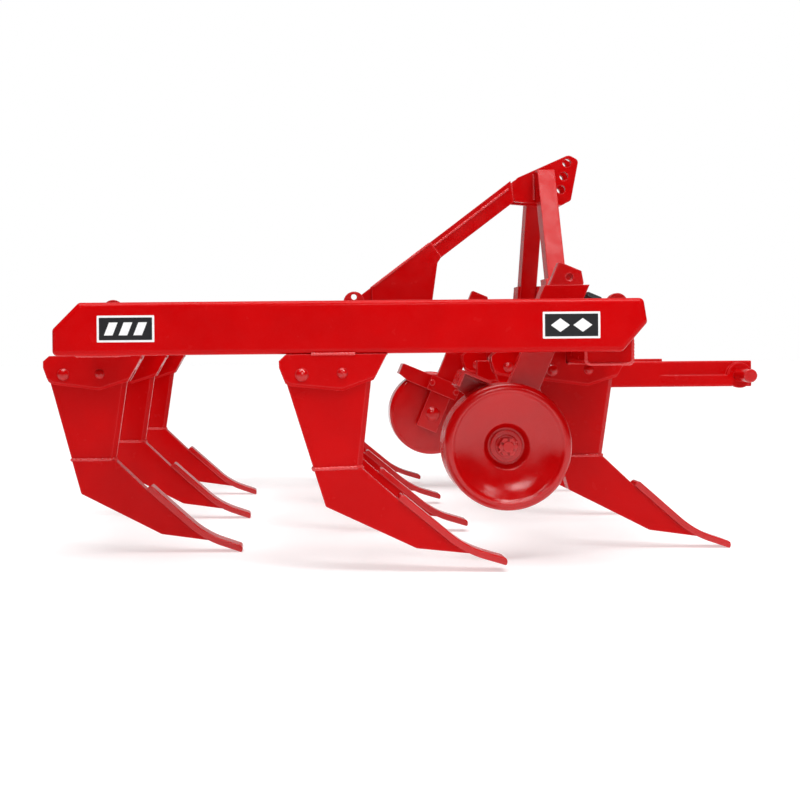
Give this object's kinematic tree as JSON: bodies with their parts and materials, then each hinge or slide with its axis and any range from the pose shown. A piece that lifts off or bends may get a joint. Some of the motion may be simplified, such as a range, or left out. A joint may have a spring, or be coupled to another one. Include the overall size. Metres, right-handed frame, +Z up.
{
  "type": "mounted chisel plough",
  "caption": "Tractor-mounted chisel plough: welded frame with box side rails, rigid tines with curved points, top-link mast, lower link arms with pins, and depth wheels on sliding arms.",
  "frame": {"origin": "on the ground under the middle of the machine, level with the tips of the tines", "axes": "+X forward towards the tractor, +Y to the left of the machine, +Z up"},
  "size_m": [1.915, 1.873, 1.1132],
  "materials": {
    "red_paint": "gloss",
    "black_grip": "satin"
  },
  "bodies": {
    "frame": {"centre_spine": "red_paint", "cross_tube_front": "red_paint", "cross_tube_middle": "red_paint", "cross_tube_rear": "red_paint", "depth_sleeve_left": "red_paint", "depth_sleeve_right": "red_paint", "hitch_pin_left": "red_paint", "hitch_pin_nuts": "red_paint", "hitch_pin_right": "red_paint", "lifting_lugs": "red_paint", "link_arm_left": "red_paint", "link_arm_right": "red_paint", "mast_brace": "red_paint", "mast_feet": "red_paint", "mast_gussets": "red_paint", "mast_head_plates": "red_paint", "mast_strut_left": "red_paint", "mast_strut_right": "red_paint", "point_bolts": "red_paint", "rail_left": "red_paint", "rail_right": "red_paint", "tine_bolt_nuts": "red_paint", "tine_brackets_front": "red_paint", "tine_brackets_middle": "red_paint", "tine_brackets_rear": "red_paint", "tine_front_centre_point": "red_paint", "tine_front_centre_shank": "red_paint", "tine_front_left_point": "red_paint", "tine_front_left_shank": "red_paint", "tine_front_right_point": "red_paint", "tine_front_right_shank": "red_paint", "tine_middle_inner_left_point": "red_paint", "tine_middle_inner_left_shank": "red_paint", "tine_middle_inner_right_point": "red_paint", "tine_middle_inner_right_shank": "red_paint", "tine_middle_outer_left_point": "red_paint", "tine_middle_outer_left_shank": "red_paint", "tine_middle_outer_right_point": "red_paint", "tine_middle_outer_right_shank": "red_paint", "tine_pivot_bolts": "red_paint", "tine_rear_centre_point": "red_paint", "tine_rear_centre_shank": "red_paint", "tine_rear_left_point": "red_paint", "tine_rear_left_shank": "red_paint", "tine_rear_right_point": "red_paint", "tine_rear_right_shank": "red_paint", "tine_shear_bolts": "red_paint"},
    "wheel_arm_right": {"wheel_arm_right": "red_paint", "wheel_axle_right": "red_paint", "wheel_scraper_right": "red_paint"},
    "wheel_right": {"gauge_wheel_right": "red_paint", "wheel_hub_right": "red_paint"},
    "depth_knob_right": {"depth_knob_right": "black_grip"},
    "wheel_arm_left": {"wheel_arm_left": "red_paint", "wheel_axle_left": "red_paint", "wheel_scraper_left": "red_paint"},
    "wheel_left": {"gauge_wheel_left": "red_paint", "wheel_hub_left": "red_paint"},
    "depth_knob_left": {"depth_knob_left": "black_grip"}
  },
  "joints": [
    {"name": "depth_slide_right", "type": "slide", "parent": "frame", "child": "wheel_arm_right", "axis": [0.3907, 0, 0.9205], "range_m": [0, 0.1]},
    {"name": "wheel_spin_right", "type": "hinge", "parent": "wheel_arm_right", "child": "wheel_right", "pos_m": [0.2055, -0.77, 0.281], "axis": [0, 1, 0], "continuous": true},
    {"name": "knob_turn_right", "type": "hinge", "parent": "frame", "child": "depth_knob_right", "pos_m": [0.37, -0.6925, 0.66853], "axis": [0.9205, 0, -0.3907], "range_deg": [0, 1080]},
    {"name": "depth_slide_left", "type": "slide", "parent": "frame", "child": "wheel_arm_left", "axis": [0.3907, 0, 0.9205], "range_m": [0, 0.1]},
    {"name": "wheel_spin_left", "type": "hinge", "parent": "wheel_arm_left", "child": "wheel_left", "pos_m": [0.2055, 0.77, 0.281], "axis": [0, 1, 0], "continuous": true},
    {"name": "knob_turn_left", "type": "hinge", "parent": "frame", "child": "depth_knob_left", "pos_m": [0.37, 0.6925, 0.66853], "axis": [0.9205, 0, -0.3907], "range_deg": [0, 1080]}
  ]
}
